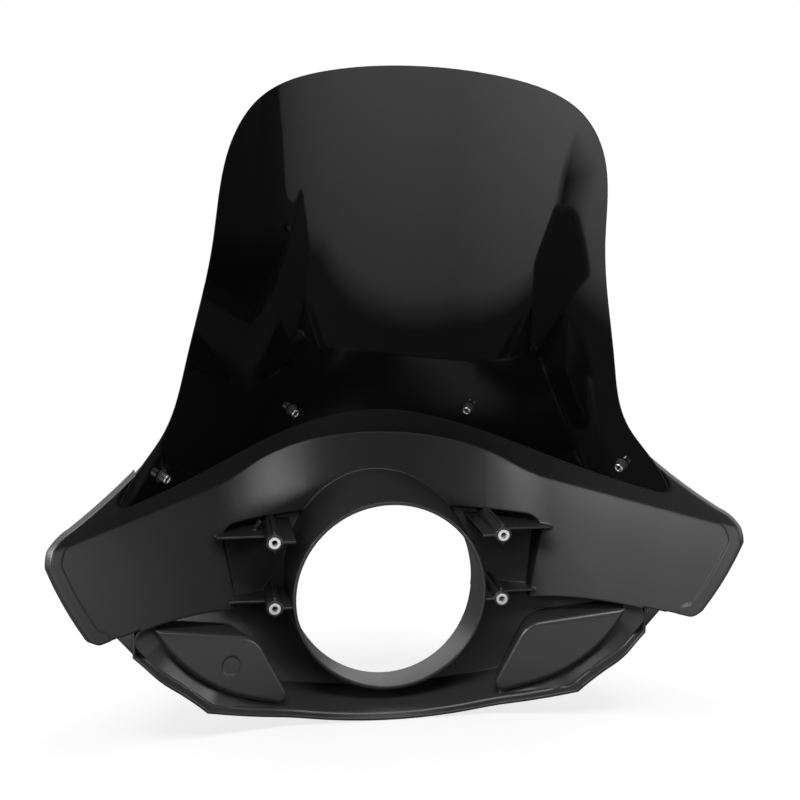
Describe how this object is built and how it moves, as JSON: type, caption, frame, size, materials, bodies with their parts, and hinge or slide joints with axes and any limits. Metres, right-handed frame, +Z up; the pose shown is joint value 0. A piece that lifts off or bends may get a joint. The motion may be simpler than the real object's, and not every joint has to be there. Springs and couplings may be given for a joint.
{
  "type": "headlight cowl",
  "caption": "Motorbike headlight cowl: a black moulded fairing with a round lamp opening, wings, chin scoops and bracket inserts, and a tall bent smoked screen on its flange.",
  "frame": {"origin": "centre of the round lamp opening, in the plane of its rear rim", "axes": "+X the rider's right, +Y forward, +Z up; the lamp opening's axis is Y"},
  "size_m": [0.558, 0.2225, 0.5441],
  "materials": {
    "moulding": "fine satin grain",
    "screen": "polished dark smoke",
    "black_steel": "black oxide",
    "soft_washer": "matt",
    "bright_metal": "bright plated"
  },
  "bodies": {
    "root": {"fairing_shell": "moulding", "windscreen": "screen", "screen_screws": "black_steel", "screen_washers": "soft_washer", "screen_sleeve_nuts": "bright_metal", "mount_inserts": "bright_metal"}
  },
  "joints": []
}
